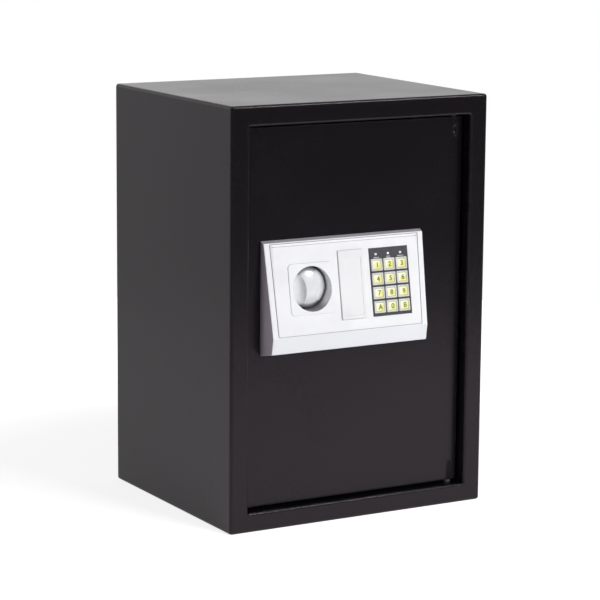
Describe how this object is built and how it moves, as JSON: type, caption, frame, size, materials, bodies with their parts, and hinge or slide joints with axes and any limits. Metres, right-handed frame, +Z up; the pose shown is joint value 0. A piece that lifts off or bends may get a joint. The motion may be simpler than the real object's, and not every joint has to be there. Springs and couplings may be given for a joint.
{
  "type": "security safe",
  "caption": "Upright steel safe with an inset hinged door, a wedge lock panel with knob and keypad, sliding bolts behind the door and a removable shelf.",
  "frame": {"origin": "centre of the body's footprint on the surface it stands on", "axes": "+Z up, -Y out of the door, +X to the right seen from the front"},
  "size_m": [0.348, 0.309, 0.5],
  "materials": {
    "body_paint": "semi-gloss black powder coat",
    "steel": "zinc plated",
    "satin_chrome": "satin",
    "white_plastic": "satin white",
    "dark_plastic": "fine texture",
    "key_plastic": "pale yellow window in a silver rim",
    "clear_plastic": "clear",
    "rubber": "matt",
    "felt": "needle felt",
    "nylon": "natural",
    "brass": "turned",
    "coil_tape": "winding under tape",
    "board": "solder mask",
    "cell_sleeve": "printed sleeve",
    "red_plastic": "smooth",
    "lead_sleeve": "soft sleeve"
  },
  "bodies": {
    "safe_body": {"body_shell": "body_paint", "back_panel": "body_paint", "shelf_rail_left": "body_paint", "shelf_rail_right": "body_paint", "floor_mat": "felt", "hinge_washer": "dark_plastic"},
    "shelf": {"shelf": "body_paint"},
    "door": {"door_plate": "body_paint", "hinge_pin_top": "steel", "hinge_pin_bottom": "steel", "panel_housing": "white_plastic", "spindle_bush": "nylon", "bolt_guide": "steel", "guide_stud_upper": "steel", "guide_stud_lower": "steel", "guide_clip_upper": "steel", "guide_clip_lower": "steel", "solenoid_frame": "steel", "solenoid_coil": "coil_tape", "lock_barrel": "satin_chrome", "lock_nut": "steel", "keypad_frame": "dark_plastic", "indicator_lens": "clear_plastic", "key_mat": "rubber", "circuit_board": "board", "inner_case": "body_paint", "battery_bay": "dark_plastic", "battery_cell_1": "cell_sleeve", "battery_cell_2": "cell_sleeve", "battery_cell_3": "cell_sleeve", "battery_cell_4": "cell_sleeve", "reset_switch": "dark_plastic", "battery_lead": "lead_sleeve", "solenoid_lead": "lead_sleeve"},
    "knob": {"knob": "satin_chrome", "knob_spindle": "steel", "crank": "steel"},
    "boltwork": {"bolt_slide": "steel", "bolt_upper": "satin_chrome", "bolt_lower": "satin_chrome"},
    "plunger": {"solenoid_plunger": "steel"},
    "centre_cover": {"centre_cover": "white_plastic"},
    "key_plug": {"lock_plug": "brass", "lock_lever": "steel"},
    "battery_lid": {"battery_lid": "dark_plastic"},
    "reset_button": {"reset_button": "red_plastic"},
    "key_1": {"key_1": "key_plastic"},
    "key_2": {"key_2": "key_plastic"},
    "key_3": {"key_3": "key_plastic"},
    "key_4": {"key_4": "key_plastic"},
    "key_5": {"key_5": "key_plastic"},
    "key_6": {"key_6": "key_plastic"},
    "key_7": {"key_7": "key_plastic"},
    "key_8": {"key_8": "key_plastic"},
    "key_9": {"key_9": "key_plastic"},
    "key_a": {"key_a": "key_plastic"},
    "key_0": {"key_0": "key_plastic"},
    "key_b": {"key_b": "key_plastic"}
  },
  "joints": [
    {"name": "door_swing", "type": "hinge", "parent": "safe_body", "child": "door", "pos_m": [0.138, -0.1298, 0.25], "axis": [0, 0, 1], "range_deg": [0, 100]},
    {"name": "shelf_lift", "type": "slide", "parent": "safe_body", "child": "shelf", "axis": [0, 0, 1], "range_m": [0, 0.025]},
    {"name": "knob_turn", "type": "hinge", "parent": "door", "child": "knob", "pos_m": [-0.068, -0.13, 0.2834], "axis": [0, -1, 0], "range_deg": [0, 90]},
    {"name": "bolt_throw", "type": "slide", "parent": "door", "child": "boltwork", "axis": [-1, 0, 0], "range_m": [0, 0.017]},
    {"name": "plunger_lift", "type": "slide", "parent": "door", "child": "plunger", "axis": [0, 0, 1], "range_m": [0, 0.004], "stiffness_N_per_m": 60, "springref_m": -0.003},
    {"name": "cover_pull", "type": "slide", "parent": "door", "child": "centre_cover", "axis": [0, -0.9842, 0.1772], "range_m": [0, 0.025]},
    {"name": "key_lock_turn", "type": "hinge", "parent": "door", "child": "key_plug", "pos_m": [-0.0139, -0.13, 0.284], "axis": [0, 1, 0], "range_deg": [0, 90]},
    {"name": "battery_lid_slide", "type": "slide", "parent": "door", "child": "battery_lid", "axis": [1, 0, 0], "range_m": [0, 0.012]},
    {"name": "reset_press", "type": "slide", "parent": "door", "child": "reset_button", "axis": [0, -1, 0], "range_m": [0, 0.0015], "stiffness_N_per_m": 300, "springref_m": -0.0005},
    {"name": "key_1_press", "type": "slide", "parent": "door", "child": "key_1", "axis": [0, 0.9842, -0.1772], "range_m": [0, 0.001], "stiffness_N_per_m": 400},
    {"name": "key_2_press", "type": "slide", "parent": "door", "child": "key_2", "axis": [0, 0.9842, -0.1772], "range_m": [0, 0.001], "stiffness_N_per_m": 400},
    {"name": "key_3_press", "type": "slide", "parent": "door", "child": "key_3", "axis": [0, 0.9842, -0.1772], "range_m": [0, 0.001], "stiffness_N_per_m": 400},
    {"name": "key_4_press", "type": "slide", "parent": "door", "child": "key_4", "axis": [0, 0.9842, -0.1772], "range_m": [0, 0.001], "stiffness_N_per_m": 400},
    {"name": "key_5_press", "type": "slide", "parent": "door", "child": "key_5", "axis": [0, 0.9842, -0.1772], "range_m": [0, 0.001], "stiffness_N_per_m": 400},
    {"name": "key_6_press", "type": "slide", "parent": "door", "child": "key_6", "axis": [0, 0.9842, -0.1772], "range_m": [0, 0.001], "stiffness_N_per_m": 400},
    {"name": "key_7_press", "type": "slide", "parent": "door", "child": "key_7", "axis": [0, 0.9842, -0.1772], "range_m": [0, 0.001], "stiffness_N_per_m": 400},
    {"name": "key_8_press", "type": "slide", "parent": "door", "child": "key_8", "axis": [0, 0.9842, -0.1772], "range_m": [0, 0.001], "stiffness_N_per_m": 400},
    {"name": "key_9_press", "type": "slide", "parent": "door", "child": "key_9", "axis": [0, 0.9842, -0.1772], "range_m": [0, 0.001], "stiffness_N_per_m": 400},
    {"name": "key_a_press", "type": "slide", "parent": "door", "child": "key_a", "axis": [0, 0.9842, -0.1772], "range_m": [0, 0.001], "stiffness_N_per_m": 400},
    {"name": "key_0_press", "type": "slide", "parent": "door", "child": "key_0", "axis": [0, 0.9842, -0.1772], "range_m": [0, 0.001], "stiffness_N_per_m": 400},
    {"name": "key_b_press", "type": "slide", "parent": "door", "child": "key_b", "axis": [0, 0.9842, -0.1772], "range_m": [0, 0.001], "stiffness_N_per_m": 400}
  ],
  "couplings": [
    {"joint": "knob_turn", "follows": "bolt_throw", "rad_per_m": 92.4}
  ]
}
